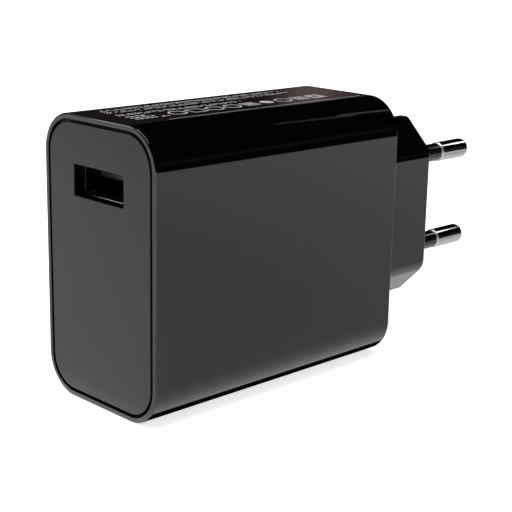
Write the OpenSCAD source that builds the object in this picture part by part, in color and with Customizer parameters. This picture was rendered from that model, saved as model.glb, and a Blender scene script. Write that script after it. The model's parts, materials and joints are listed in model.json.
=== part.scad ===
// USB wall charger with a two-pin flat European plug.
// Origin: centre of the plug's engagement face, midway between the two pins.
// +Y runs along the pins into the wall, -Y faces the USB port, +X is to the
// right seen from the port side, and +Z is up. Millimetres.

/* [Body] */
// Width of the body, side to side
body_w = 29; // [28:0.5:32]
// Height of the body
body_h = 49; // [48:0.5:54]
// Length of the body, without the plug
body_len = 57; // [57:0.5:64]
// Radius of the four long edges
body_r = 6.8; // [5:0.1:7.5]
// Thickness of the body's walls
wall = 2; // [1.8:0.1:2]
// Thickness of the thin rim round the front cover
rim = 0.9; // [0.7:0.05:1.1]
// Shadow gap between the rim and the front cover
cover_gap = 0.55; // [0.2:0.05:0.6]
// Thickness of the front cover
cover_t = 2; // [1.6:0.1:2]

/* [Plug] */
// Length of the plug block, from the body to the engagement face
plug_len = 19.5; // [18:0.1:20]
// Thickness of the plug block
plug_t = 13.9; // [13.2:0.1:14.4]
// Height of the plug block
plug_h = 35.8; // [35:0.1:36]
// Width of the flat tip at the top and bottom of the plug block
plug_tip_w = 2; // [1:0.1:4]
// Distance between the pins' axes
pin_pitch = 18.6; // [18:0.1:19.2]
// Diameter of the pins' bare ends
pin_d = 4; // [3.94:0.01:4.06]
// Length of the pins beyond the engagement face
pin_len = 19.5; // [18.5:0.1:19.5]
// Length of the insulating sleeves beyond the engagement face
sleeve_len = 10.5; // [10:0.1:11]
// Outer diameter of the insulating sleeves
sleeve_d = 3.65; // [3.6:0.05:3.7]

/* [USB port] */
// Height of the port's centre above the pins' midpoint
port_z = 13.7; // [12.5:0.1:14]
// Width of the receptacle's opening
port_w = 12.5; // [12.4:0.05:12.6]
// Height of the receptacle's opening
port_h = 5.12; // [5.02:0.02:5.22]
// Thickness of the receptacle's metal sheet
port_sheet = 0.3; // [0.25:0.05:0.3]
// Depth of the tongue's front edge behind the front cover's face
tongue_depth = 4.75; // [4.5:0.05:5]
// Largest flex of a contact spring, in degrees
contact_flex = 5; // [3:0.5:5]

/* [Circuit boards] */
// Thickness of the main board
board_t = 1.6; // [1.2:0.1:1.6]
// Thickness of the USB board
usb_board_t = 1.2; // [1:0.1:1.2]

/* [Hidden] */
$fn = 64;
eps = 0.01;
slip = 0.1;                     // assembly clearance between pressed or slid parts
y_back = -plug_len;             // back face of the body
y_front = y_back - body_len;    // front rim of the body
y_seat = y_front + cover_t;     // ledge that the front cover sits on
rear_wall = 2;
plug_wall = 1.8;
end_wall = 3;                   // wall behind the engagement face
inner_w = body_w - 2 * wall;
inner_h = body_h - 2 * wall;
inner_r = body_r - wall;

// Rating label on the top face
label_w = 14.4;
label_len = 51.6;
label_t = 0.1;
label_front = y_front + 4;

// Front cover
cover_w = body_w - 2 * (rim + cover_gap);
cover_h = body_h - 2 * (rim + cover_gap);
cover_r = body_r - rim - cover_gap;
skirt_len = 3;
skirt_t = 1.2;
skirt_w = inner_w - 0.3;
skirt_h = inner_h - 0.3;
snap_y = y_seat + 1.9;          // middle of the snap ribs
snap_len = 8;
snap_rise = 0.4;

// Pins
pin_core_d = 3;
pin_hole_d = 4.1;
pin_flange_d = 6.4;
pin_flange_t = 1.2;
pin_tail_y = -11;
retainer_t = 2;

// USB receptacle
shell_w = port_w + 2 * port_sheet;
shell_h = port_h + 2 * port_sheet;
shell_len = 14;
shell_front = y_seat + 0.15;
shell_back = shell_front + shell_len;
window_w = port_w + 0.5;
window_h = port_h + 0.18;
tongue_w = 11.1;
tongue_t = 1.84;
tongue_front = y_front + tongue_depth;
block_front = shell_back - 4.05;
block_back = shell_back - 0.3;
contact_x = [-3.5, -1, 1, 3.5];
contact_w = 1;
contact_t = 0.25;
contact_root = [block_front - 0.15, port_z + 0.55];
groove_w = 1.25;
groove_d = 1.3;
leg_y = [shell_front + 3.2, shell_front + 9.6];
leg_w = 1.8;

// Boards. The main board stands on edge; its parts side faces +X.
board_x = -8;                   // parts side of the main board
board_back_x = board_x - board_t;
board_front = y_front + 5.3;
board_end = y_back - 6;
board_h = 43.8;
usb_board_top = port_z - shell_h / 2;
usb_board_bottom = usb_board_top - usb_board_t;
usb_board_front = y_front + 4;
usb_board_end = y_front + 21;
usb_board_right = 11;
tab_y = [y_front + 9, y_front + 17];
tab_len = 3;
rail_t = 1;
rail_depth = 1.5;

// Places on the main board, as [y, z]
transformer_at = [-46.5, -2];
bulk_capacitor_at = [[-30.3, 16], [-40.8, 16]];
output_capacitor_at = [[-65.3, 2.6], [-65.3, -6.4]];
choke_at = [-30, 0];
fuse_at = [-29.8, -16.6];
x_capacitor_at = [-41.5, -17.6];
varistor_at = [-51, -17];
y_capacitor_at = [-58.2, -9];
optocoupler_at = [-58.2, 1];

bulk_d = 9.5;
bulk_h = 16;
output_d = 8;
output_h = 12;
stand_off = 0.5;                // gap between the board and a standing part
lead_d = 0.6;
lead_hole_d = 0.9;

// Transformer
core_w = 17;                    // along Y
core_h = 17;                    // along Z
core_depth = 7;                 // along X
core_x = 1.5;
core_leg = 2.6;
core_mid_leg = 4.6;
core_back = 2.8;
bobbin_wall = 0.7;
winding_1 = 1.5;
winding_2 = 1.1;
flange_t = 0.9;
winding_face = core_x + core_depth / 2 + bobbin_wall + winding_1 + winding_2;
spreader_x = winding_face + 1.5;

lead_points = concat(
    [for (p = bulk_capacitor_at, s = [-2.5, 2.5]) [p[0] + s, p[1]]],
    [for (p = output_capacitor_at, s = [-1.75, 1.75]) [p[0] + s, p[1]]],
    [for (s = [-1, 1], t = [-2, 2]) choke_at + [s * 3, t]],
    [for (s = [-2.5, 2.5]) fuse_at + [0, s]],
    [for (s = [-5, 5]) x_capacitor_at + [s, 0]],
    [for (s = [-2.5, 2.5]) varistor_at + [0, s]],
    [for (s = [-2.5, 2.5]) y_capacitor_at + [0, s]]
);
bobbin_pins = [for (s = [-1, 1], t = [-4.5, -1.5, 1.5, 4.5]) transformer_at + [t, s * (core_h / 2 + 1.3)]];
optocoupler_leads = [for (s = [-1.27, 1.27], t = [-3.8, 3.8]) optocoupler_at + [s, t]];

// ---------- shared shapes ----------

// Extrudes a shape drawn in X and Z from y0 to y1
module along_y(y0, y1) {
    translate([0, y1, 0]) rotate([90, 0, 0]) linear_extrude(height = y1 - y0) children();
}

// Extrudes a shape drawn in Y and Z from x0 to x1
module along_x(x0, x1) {
    translate([x0, 0, 0]) rotate([90, 0, 90]) linear_extrude(height = x1 - x0) children();
}

// A round bar along X from x0 to x1, at [y, z]
module bar_x(at, d, x0, x1) {
    translate([x0, at[0], at[1]]) rotate([0, 90, 0]) cylinder(d = d, h = x1 - x0);
}

// A round bar along Y from y0 to y1, at height z
module bar_y(z, d, y0, y1) {
    translate([0, y1, z]) rotate([90, 0, 0]) cylinder(d = d, h = y1 - y0);
}

// A block given by its lowest and highest corners
module block(lo, hi) {
    translate(lo) cube(hi - lo);
}

module rounded_rect(w, h, r) {
    square([w - 2 * r, h], center = true);
    square([w, h - 2 * r], center = true);
    for (x = [-1, 1], y = [-1, 1])
        translate([x * (w / 2 - r), y * (h / 2 - r)]) circle(r = r);
}

// Outline of a strip of thickness t whose middle line is path
function strip_normal(path, i) =
    let (a = path[max(i - 1, 0)], b = path[min(i + 1, len(path) - 1)], d = b - a)
    [-d[1], d[0]] / norm(d);
function strip(path, t) = concat(
    [for (i = [0:len(path) - 1]) path[i] + strip_normal(path, i) * t / 2],
    [for (i = [len(path) - 1:-1:0]) path[i] - strip_normal(path, i) * t / 2]
);

// Cuts a 135 degree corner, at [x, z] between a flat and a 45 degree flank, down to an arc of radius r
module corner_cut(x, z, r) {
    reach = r * tan(22.5);
    difference() {
        polygon([
            [x + 1, z - 0.98 * reach], [x - 0.04 * r, z - 0.98 * reach],
            [x - 0.72 * reach, z + 0.65 * reach], [x - 0.2 * reach, z + 0.65 * reach + 1], [x + 1, z + 1]
        ]);
        translate([x - r + 0.004, z - reach + 0.001]) circle(r = r);
    }
}

// The plug block's section: a tall hexagon with 45 degree flanks, blended corners and flat tips.
// inset moves every side inwards by the same distance.
module plug_section(inset = 0) {
    half_t = plug_t / 2 - inset;
    half_h = plug_h / 2 - inset;
    flank = (plug_h + plug_tip_w) / 2 - inset * sqrt(2);   // x + z on the flank
    difference() {
        intersection() {
            square([2 * half_t, 2 * half_h], center = true);
            rotate(45) square(flank * sqrt(2), center = true);
        }
        for (s = [0, 1], t = [0, 1]) mirror([s, 0]) mirror([0, t]) {
            corner_cut(half_t, flank - half_t, 3.9 - inset);
            mirror([1, -1]) corner_cut(half_h, flank - half_h, 0.9);
        }
    }
}

// ---------- case ----------

module snap_ribs(rise, grow) {
    for (s = [-1, 1], z = [-10, 10])
        translate([s * skirt_w / 2, snap_y, z - (snap_len + grow) / 2])
            linear_extrude(height = snap_len + grow)
                polygon([
                    [-s * 0.2, -0.8 - grow / 2], [s * rise, -0.2 - grow / 2],
                    [s * rise, 0.2 + grow / 2], [-s * 0.2, 0.8 + grow / 2]
                ]);
}

// Grooved rails that hold the main board's top and bottom edges, closed at their rear ends
module board_rails() {
    for (s = [-1, 1]) difference() {
        intersection() {
            block(
                [board_back_x - slip - rail_t, y_seat + skirt_len + 0.4, s * inner_h / 2 - rail_depth],
                [board_x + slip + rail_t, y_back - rear_wall + eps, s * inner_h / 2 + rail_depth]
            );
            along_y(y_front, y_back) rounded_rect(body_w - wall, body_h - wall, body_r - wall / 2);
        }
        block(
            [board_back_x - slip, y_front, -board_h / 2 - slip],
            [board_x + slip, board_end + slip, board_h / 2 + slip]
        );
    }
}

module body_shell() {
    color("#161618") {
        difference() {
            union() {
                along_y(y_front, y_back) rounded_rect(body_w, body_h, body_r);
                along_y(y_back - 1, 0) plug_section();
            }
            along_y(y_front - 1, y_back - rear_wall) rounded_rect(inner_w, inner_h, inner_r);
            along_y(y_front - 1, y_seat) rounded_rect(body_w - 2 * rim, body_h - 2 * rim, body_r - rim);
            along_y(y_back - rear_wall - 1, -end_wall) plug_section(plug_wall);
            for (s = [-1, 1]) bar_y(s * pin_pitch / 2, pin_hole_d, -end_wall - 1, 1);
            block(
                [-label_w / 2 - slip, label_front - slip, body_h / 2 - label_t],
                [label_w / 2 + slip, label_front + label_len + slip, body_h / 2 + 1]
            );
            snap_ribs(snap_rise + 0.25, 0.4);
        }
        board_rails();
    }
}

module front_cover() {
    color("#2b2b2e") difference() {
        union() {
            along_y(y_front, y_seat) rounded_rect(cover_w, cover_h, cover_r);
            along_y(y_seat - eps, y_seat + skirt_len) difference() {
                rounded_rect(skirt_w, skirt_h, inner_r - 0.15);
                rounded_rect(skirt_w - 2 * skirt_t, skirt_h - 2 * skirt_t, inner_r - 0.15 - skirt_t);
            }
            along_y(y_seat - eps, y_seat + 1.5)
                translate([0, port_z]) square([window_w + 3, window_h + 2.4], center = true);
            snap_ribs(snap_rise, 0);
        }
        along_y(y_front - 1, y_seat + 2) translate([0, port_z]) square([window_w, window_h], center = true);
        along_y(y_seat, y_seat + 2) translate([0, port_z])
            square([shell_w + 2 * slip, shell_h + 2 * slip], center = true);
    }
}

module rating_label() {
    color("#3a3638") block(
        [-label_w / 2, label_front, body_h / 2 - label_t],
        [label_w / 2, label_front + label_len, body_h / 2]
    );
}

// ---------- plug ----------

// One pin, turned about its own axis: bare end, core under the sleeve, flange and tail
module pin(z) {
    round_end = 1.1;
    r = pin_d / 2;
    color("silver") translate([0, 0, z]) rotate([-90, 0, 0]) rotate_extrude() difference() {
        union() {
            translate([0, pin_tail_y]) square([pin_core_d / 2, pin_len - 2 - pin_tail_y]);
            translate([0, -end_wall - pin_flange_t]) square([pin_flange_d / 2, pin_flange_t]);
            translate([0, sleeve_len]) square([r, pin_len - sleeve_len - round_end]);
            translate([0, pin_len - round_end - eps]) square([r - round_end, round_end + eps]);
            translate([r - round_end, pin_len - round_end]) intersection() {
                circle(r = round_end);
                square([round_end, round_end]);
            }
        }
        translate([r, sleeve_len]) rotate(45) square(0.4, center = true);
    }
}

module pin_sleeve(z) {
    color("#0f0f10") translate([0, 0, z]) rotate([-90, 0, 0]) rotate_extrude()
        translate([pin_core_d / 2, -end_wall])
            square([(sleeve_d - pin_core_d) / 2, sleeve_len + end_wall]);
}

module pin_retainer() {
    top = -end_wall - pin_flange_t;
    color("#3a3a3c") difference() {
        along_y(top - retainer_t, top) plug_section(plug_wall + 0.1);
        for (s = [-1, 1]) bar_y(s * pin_pitch / 2, pin_core_d + 2 * slip, top - retainer_t - 1, top + 1);
        along_y(top - retainer_t - 1, top + 1) square([4, 8], center = true);
    }
}

// A spring blade soldered to the main board, which presses on a pin's tail
module mains_blade(z) {
    blade_t = 0.4;
    x_touch = -pin_core_d / 2 - blade_t / 2 - 0.02;
    x_arm = x_touch - 0.6;
    foot_y = board_end - 5;
    path = [
        [board_x + blade_t / 2, foot_y - 3.5], [board_x + blade_t / 2, foot_y - 0.5],
        [board_x + 0.8, foot_y], [x_arm - 0.8, foot_y], [x_arm, foot_y + 0.8],
        [x_arm, pin_tail_y - 0.4], [x_touch, pin_tail_y + 1.4], [x_touch, pin_tail_y + 2.2],
        [x_arm, pin_tail_y + 3.4]
    ];
    color("#c9b27a") translate([0, 0, z - 1.5]) linear_extrude(height = 3) polygon(strip(path, blade_t));
}

// ---------- USB receptacle ----------

module usb_shell() {
    outer_r = 0.7;
    spring_l = 5;
    spring_w = 1.7;
    slit = 0.25;
    spring_front = shell_front + 3.4;
    color("#c8c8ca") {
        difference() {
            along_y(shell_front, shell_back) translate([0, port_z]) difference() {
                rounded_rect(shell_w, shell_h, outer_r);
                rounded_rect(port_w, port_h, outer_r - port_sheet);
            }
            // slits that free the four retention springs, two above and two below
            for (x = [-3, 3], z = [port_z - shell_h / 2, port_z + shell_h / 2]) {
                for (s = [-1, 1])
                    translate([x + s * (spring_w + slit) / 2, spring_front + spring_l / 2, z])
                        cube([slit, spring_l, 1], center = true);
                translate([x, spring_front + spring_l, z]) cube([spring_w + 2 * slit, slit, 1], center = true);
            }
            // seam along the bottom, where the sheet closes
            translate([0, (shell_front + shell_back) / 2, port_z - shell_h / 2])
                cube([0.08, shell_len + 1, 0.3], center = true);
        }
        // raised ridges of the retention springs
        for (x = [-3, 3], s = [-1, 1])
            translate([x - spring_w / 2, spring_front + 3.8, port_z + s * (port_h / 2 + eps)])
                rotate([90, 0, 90]) linear_extrude(height = spring_w)
                    polygon([[-0.9, 0], [0, -s * 0.32], [0.7, 0]]);
        // solder legs
        for (s = [-1, 1], y = leg_y)
            block(
                [s > 0 ? shell_w / 2 - port_sheet : -shell_w / 2, y - leg_w / 2, usb_board_bottom - 0.7],
                [s > 0 ? shell_w / 2 : -shell_w / 2 + port_sheet, y + leg_w / 2, port_z - 1.5]
            );
    }
}

module usb_insulator() {
    color("#1c1c1e") difference() {
        union() {
            along_y(block_front, block_back) translate([0, port_z])
                rounded_rect(port_w - 0.04, port_h - 0.04, 0.4);
            along_x(-tongue_w / 2, tongue_w / 2) polygon([
                [block_front + 1, port_z], [tongue_front + 0.3, port_z],
                [tongue_front, port_z + 0.3], [tongue_front, port_z + tongue_t - 0.7],
                [tongue_front + 0.7, port_z + tongue_t], [block_front + 1, port_z + tongue_t]
            ]);
        }
        for (x = contact_x) {
            block(
                [x - groove_w / 2, tongue_front + 0.55, port_z - 1],
                [x + groove_w / 2, block_front + eps, port_z + groove_d]
            );
            block(
                [x - contact_w / 2 - 0.03, block_front - eps, contact_root[1] - contact_t / 2 - 0.03],
                [x + contact_w / 2 + 0.03, block_back + 1, contact_root[1] + contact_t / 2 + 0.03]
            );
        }
    }
}

// The sprung part of one contact: a round root, a slope down to the bump, and the tucked-in tip
module contact_spring(x) {
    reach = contact_root[0] - tongue_front;
    path = [
        contact_root,
        contact_root + [-1.2, -0.05],
        contact_root + [-4.2, -0.72],
        contact_root + [-4.8, -0.98],
        contact_root + [-5.2, -1.02],
        contact_root + [-5.6, -0.9],
        contact_root + [-reach + 0.75, -0.42]
    ];
    color("#d4b25a") {
        along_x(x - contact_w / 2, x + contact_w / 2) polygon(strip(path, contact_t));
        bar_x(contact_root, contact_t, x - contact_w / 2, x + contact_w / 2);
    }
}

// The fixed tails, from behind the sprung roots through the insulator and down to the USB board
module usb_contact_tails() {
    root = contact_root + [contact_t / 2 + 0.04, 0];
    bend_y = shell_back + 0.45;
    color("#d4b25a") for (x = contact_x)
        along_x(x - contact_w / 2, x + contact_w / 2) polygon(strip([
            root, [bend_y - 0.4, root[1]], [bend_y, root[1] - 0.4],
            [bend_y, usb_board_bottom - 0.7]
        ], contact_t));
}

// ---------- boards and sheets ----------

module main_board() {
    color("#1f6b3a") difference() {
        block([board_back_x, board_front, -board_h / 2], [board_x, board_end, board_h / 2]);
        for (p = concat(lead_points, bobbin_pins, optocoupler_leads))
            bar_x(p, lead_hole_d, board_back_x - 1, board_x + 1);
        // slots for the USB board's tabs, and the isolation slot under the transformer
        for (y = tab_y)
            block(
                [board_back_x - 1, y - slip, usb_board_bottom - slip],
                [board_x + 1, y + tab_len + slip, usb_board_top + slip]
            );
        block([board_back_x - 1, -54, -12], [board_x + 1, -52.8, -4]);
    }
}

module usb_board() {
    color("#1f6b3a") difference() {
        union() {
            block(
                [board_x + slip, usb_board_front, usb_board_bottom],
                [usb_board_right, usb_board_end, usb_board_top - 0.02]
            );
            for (y = tab_y)
                block([board_back_x - 0.4, y, usb_board_bottom], [board_x + slip + eps, y + tab_len, usb_board_top - 0.02]);
        }
        for (s = [-1, 1], y = leg_y)
            translate([s * (shell_w - port_sheet) / 2, y, usb_board_top])
                cube([port_sheet + 0.3, leg_w + 0.3, 4], center = true);
        for (x = contact_x)
            translate([x, shell_back + 0.45, usb_board_top])
                cube([contact_w + 0.2, contact_t + 0.3, 4], center = true);
    }
}

module insulation_sheet() {
    color("#e8e2c8") block(
        [board_back_x - 2.4, board_front + 1, -17], [board_back_x - 2.2, board_end - 1, 17]
    );
}

// Soft pad between the windings and the heat spreader
module thermal_pad() {
    color("#8fa3b5") block([winding_face + 0.02, -53, -6], [spreader_x, -40, 2]);
}

// Sheet metal plate over the transformer, with one narrow leg soldered to the main board
module heat_spreader() {
    color("#b9bcc0") difference() {
        union() {
            block([spreader_x, -60, -12], [spreader_x + 0.8, -37, 8]);
            block([spreader_x - 3, -60.8, -12], [spreader_x + 0.8, -60, 6]);
            block([board_x, -60.8, -12], [spreader_x, -60, -10.9]);
        }
        for (z = [-8, 4]) bar_x([-57, z], 2.2, spreader_x - 1, spreader_x + 2);
    }
}

// ---------- transformer ----------

// Half of the ferrite core, seen along X: a back and three legs
module transformer_core(side) {
    y = transformer_at[0];
    z = transformer_at[1];
    color("#3c3f42") for (s = [side]) difference() {
        block(
            [core_x - core_depth / 2, y - core_w / 2, s > 0 ? z + 0.02 : z - core_h / 2],
            [core_x + core_depth / 2, y + core_w / 2, s > 0 ? z + core_h / 2 : z - 0.02]
        );
        for (t = [-1, 1]) {
            middle = t * (core_mid_leg / 2 + (core_w / 2 - core_leg - core_mid_leg / 2) / 2);
            gap = core_w / 2 - core_leg - core_mid_leg / 2;
            translate([core_x, y + middle, z])
                cube([core_depth + 1, gap, core_h - 2 * core_back], center = true);
        }
    }
}

// A closed ring round the core's middle leg, between two sizes and two heights
module leg_ring(inner, outer, z0, z1) {
    translate([core_x, transformer_at[0], z0]) linear_extrude(height = z1 - z0) difference() {
        rounded_rect(core_depth + 2 * outer, core_mid_leg + 2 * outer, 0.8);
        square([core_depth + 2 * inner, core_mid_leg + 2 * inner], center = true);
    }
}

module transformer_bobbin() {
    z = transformer_at[1];
    window = core_h / 2 - core_back - 0.1;
    full = bobbin_wall + winding_1 + winding_2;
    color("#2a2420") {
        leg_ring(0.05, bobbin_wall, z - window, z + window);
        for (s = [-1, 1]) {
            z0 = s > 0 ? z + window - flange_t : z - window;
            leg_ring(0.05, full, z0, z0 + flange_t);
            // pin rail below each end of the core
            z1 = s > 0 ? z + core_h / 2 + 0.15 : z - core_h / 2 - 2.45;
            difference() {
                union() {
                    block(
                        [board_x + stand_off, transformer_at[0] - 6.5, z1],
                        [board_x + stand_off + 2.2, transformer_at[0] + 6.5, z1 + 2.3]
                    );
                    block(
                        [board_x + stand_off, transformer_at[0] - 3, s > 0 ? z0 : z1],
                        [board_x + stand_off + 1.2, transformer_at[0] + 3, s > 0 ? z1 + 2.3 : z0 + flange_t]
                    );
                    block(
                        [board_x + stand_off, transformer_at[0] - 3, z0],
                        [core_x - core_depth / 2 - bobbin_wall, transformer_at[0] + 3, z0 + flange_t]
                    );
                }
                for (p = bobbin_pins) bar_x(p, lead_d, board_x, board_x + stand_off + 2);
            }
        }
    }
}

module winding_ring(inner, outer, tint) {
    z = transformer_at[1];
    half = core_h / 2 - core_back - 0.1 - flange_t - 0.05;
    color(tint) leg_ring(inner + 0.02, outer - 0.02, z - half, z + half);
}

module primary_winding() {
    winding_ring(bobbin_wall, bobbin_wall + winding_1, "#b5651d");
}

module secondary_winding() {
    winding_ring(bobbin_wall + winding_1, bobbin_wall + winding_1 + winding_2, "#d9c04a");
}

module transformer_tape() {
    tape = 0.15;
    color("#d8b13a") translate([0, transformer_at[0], transformer_at[1]])
        along_x(core_x - 2.4, core_x + 2.4) difference() {
            square([core_w + 2 * tape + 0.04, core_h + 2 * tape + 0.04], center = true);
            square([core_w + 0.04, core_h + 0.04], center = true);
        }
}

module transformer_pins() {
    color("silver") for (p = bobbin_pins) bar_x(p, lead_d, board_back_x - 0.8, board_x + stand_off + 2);
}

// ---------- capacitors ----------

// A can standing on the main board, with the crimp groove near its seal
module capacitor_can(at, d, h) {
    x0 = board_x + stand_off;
    color("#c4c6c8") difference() {
        bar_x(at, d, x0, x0 + h);
        translate([x0 + 1.6, at[0], at[1]]) rotate([0, 90, 0]) rotate_extrude()
            translate([d / 2 + 0.25, 0]) circle(r = 0.7);
        bar_x(at, d - 2.4, x0 - 1, x0 + 0.8);
        for (a = [0, 90]) translate([x0 + h, at[0], at[1]]) rotate([a, 0, 0])
            cube([0.2, d * 0.55, 0.25], center = true);
    }
}

module bulk_sleeve(at) {
    x0 = board_x + stand_off + 2.7;
    sleeve_wall = 0.12;
    color("#1d2a44") difference() {
        bar_x(at, bulk_d + 2 * sleeve_wall + 0.04, x0, x0 + bulk_h - 2.7 + sleeve_wall + 0.02);
        bar_x(at, bulk_d + 0.04, x0 - 1, x0 + bulk_h - 2.7 + 0.02);
        bar_x(at, bulk_d - 1.6, x0, x0 + bulk_h);
    }
}

module capacitor_seals() {
    x0 = board_x + stand_off;
    color("#2c2c2e") {
        for (p = bulk_capacitor_at) difference() {
            bar_x(p, bulk_d - 2.44, x0 + 0.1, x0 + 0.78);
            for (s = [-2.5, 2.5]) bar_x([p[0] + s, p[1]], lead_d + 0.04, x0, x0 + 1);
        }
        for (p = output_capacitor_at) difference() {
            bar_x(p, output_d - 2.44, x0 + 0.1, x0 + 0.78);
            for (s = [-1.75, 1.75]) bar_x([p[0] + s, p[1]], lead_d + 0.04, x0, x0 + 1);
        }
    }
}

module x_capacitor() {
    color("#d9b92e") block(
        [board_x + stand_off, x_capacitor_at[0] - 6.5, x_capacitor_at[1] - 3],
        [board_x + stand_off + 11.5, x_capacitor_at[0] + 6.5, x_capacitor_at[1] + 3]
    );
}

module y_capacitor() {
    color("#2f6fb3") translate([board_x + stand_off + 4.2, y_capacitor_at[0], y_capacitor_at[1]])
        rotate([90, 0, 0]) {
            cylinder(d = 7.6, h = 2.2, center = true);
            cylinder(d = 5.6, h = 3.2, center = true);
        }
}

// ---------- other parts on the main board ----------

module choke_core() {
    x0 = board_x + stand_off;
    color("#3c3f42") {
        bar_x(choke_at, 8.4, x0, x0 + 1.4);
        bar_x(choke_at, 4, x0, x0 + 11);
        bar_x(choke_at, 8.4, x0 + 9.6, x0 + 11);
    }
}

module choke_winding() {
    x0 = board_x + stand_off + 1.45;
    turns = 9;
    pitch = 8.1 / turns;
    color("#b5651d") difference() {
        for (i = [0:turns - 1]) bar_x(choke_at, i % 2 == 0 ? 7.8 : 7.5, x0 + i * pitch, x0 + (i + 1) * pitch);
        bar_x(choke_at, 4.04, x0 - 1, x0 + 10);
    }
}

module fuse() {
    color("#3b2a22") difference() {
        block(
            [board_x + stand_off, fuse_at[0] - 2, fuse_at[1] - 4.1],
            [board_x + stand_off + 7.6, fuse_at[0] + 2, fuse_at[1] + 4.1]
        );
        translate([board_x + stand_off + 7.6, fuse_at[0], fuse_at[1]]) cube([0.3, 2.6, 6.6], center = true);
    }
}

module varistor() {
    color("#3a7a4a") translate([board_x + stand_off + 3.9, varistor_at[0], varistor_at[1]])
        rotate([90, 0, 0]) {
            cylinder(d = 7.2, h = 2, center = true);
            cylinder(d = 5.4, h = 3, center = true);
        }
}

module optocoupler() {
    color("#1b1b1d") difference() {
        block(
            [board_x + stand_off, optocoupler_at[0] - 2.3, optocoupler_at[1] - 3.2],
            [board_x + stand_off + 3.3, optocoupler_at[0] + 2.3, optocoupler_at[1] + 3.2]
        );
        bar_x(optocoupler_at + [-1.5, 2.3], 0.8, board_x + stand_off + 3.1, board_x + 5);
    }
}

// Leads of every part that is soldered through the main board
module part_leads() {
    x_end = board_back_x - 0.8;
    color("silver") {
        for (p = lead_points) bar_x(p, lead_d, x_end, board_x + stand_off);
        for (p = optocoupler_leads) {
            bar_x(p, lead_d, x_end, board_x + stand_off + 1.2);
        }
    }
}

// ---------- parts soldered flat ----------

// A chip on the far side of the main board, with its legs
module chip(at, size, thickness, legs, pitch) {
    x1 = board_back_x - 0.1;
    color("#1b1b1d") block(
        [x1 - thickness, at[0] - size[0] / 2, at[1] - size[1] / 2],
        [x1, at[0] + size[0] / 2, at[1] + size[1] / 2]
    );
    color("silver") for (i = [0:legs - 1], s = [-1, 1])
        translate([
            x1 - 0.3, at[0] + (i - (legs - 1) / 2) * pitch, at[1] + s * (size[1] / 2 + 0.35)
        ]) cube([0.36, 0.4, 0.74], center = true);
}

module bridge_rectifier() {
    chip([-35, 8], [4.7, 4], 1.4, 2, 2.5);
}

module controller_chip() {
    chip([-41, -4], [4.9, 3.9], 1.4, 4, 1.27);
}

module rectifier_chip() {
    chip([-60, -16], [4.9, 3.9], 1.4, 4, 1.27);
}

module protocol_chip() {
    x = 4;
    y = usb_board_end - 2.2;
    top = usb_board_bottom - 0.1;
    color("#1b1b1d") block([x - 1.5, y - 1.5, top - 1], [x + 1.5, y + 1.5, top]);
    color("silver") for (i = [-1, 0, 1], s = [-1, 1])
        translate([x + s * 1.75, y + i * 0.95, top - 0.15]) cube([0.6, 0.4, 0.3], center = true);
}

// Small parts in rows on the far side of the main board
module chip_row(at, count, step, size, tint) {
    color(tint) for (i = [0:count - 1])
        block(
            [board_back_x - size[2], at[0] + i * step - size[0] / 2, at[1] - size[1] / 2],
            [board_back_x, at[0] + i * step + size[0] / 2, at[1] + size[1] / 2]
        );
}

module chip_resistors() {
    chip_row([-48, 5], 5, 2.4, [1.2, 2, 0.5], "#202022");
    for (z = [-9.2, 10.5]) chip_row([-46, z], 4, 2.4, [1.2, 2, 0.5], "#202022");
}

module chip_capacitors() {
    for (z = [-1.2, 6.8]) chip_row([-67, z], 4, 2.6, [1.3, 2, 0.9], "#b59a72");
}

body_shell();
front_cover();
rating_label();
pin(pin_pitch / 2);  // upper_pin
pin(-pin_pitch / 2);  // lower_pin
pin_sleeve(pin_pitch / 2);  // upper_pin_sleeve
pin_sleeve(-pin_pitch / 2);  // lower_pin_sleeve
pin_retainer();
mains_blade(pin_pitch / 2);  // upper_mains_blade
mains_blade(-pin_pitch / 2);  // lower_mains_blade
usb_shell();
usb_insulator();
usb_contact_tails();
contact_spring(contact_x[3]);  // power_contact
contact_spring(contact_x[2]);  // data_minus_contact
contact_spring(contact_x[1]);  // data_plus_contact
contact_spring(contact_x[0]);  // ground_contact
main_board();
usb_board();
insulation_sheet();
heat_spreader();
thermal_pad();
transformer_core(1);  // transformer_core_upper
transformer_core(-1);  // transformer_core_lower
transformer_bobbin();
primary_winding();
secondary_winding();
transformer_tape();
transformer_pins();
capacitor_can(bulk_capacitor_at[0], bulk_d, bulk_h);  // bulk_capacitor_rear
capacitor_can(bulk_capacitor_at[1], bulk_d, bulk_h);  // bulk_capacitor_middle
bulk_sleeve(bulk_capacitor_at[0]);  // bulk_sleeve_rear
bulk_sleeve(bulk_capacitor_at[1]);  // bulk_sleeve_middle
capacitor_can(output_capacitor_at[0], output_d, output_h);  // output_capacitor_upper
capacitor_can(output_capacitor_at[1], output_d, output_h);  // output_capacitor_lower
capacitor_seals();
choke_core();
choke_winding();
fuse();
x_capacitor();
varistor();
y_capacitor();
optocoupler();
part_leads();
bridge_rectifier();
controller_chip();
rectifier_chip();
protocol_chip();
chip_resistors();
chip_capacitors();
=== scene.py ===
"""USB wall charger: the looks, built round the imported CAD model.

The pieces are built in millimetres; the floor, the lights and the camera are in metres.
All of them share the CAD frame.
"""
import json
import math
import random

import bpy
from mathutils import Matrix, Vector
from mathutils.geometry import tessellate_polygon


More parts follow.
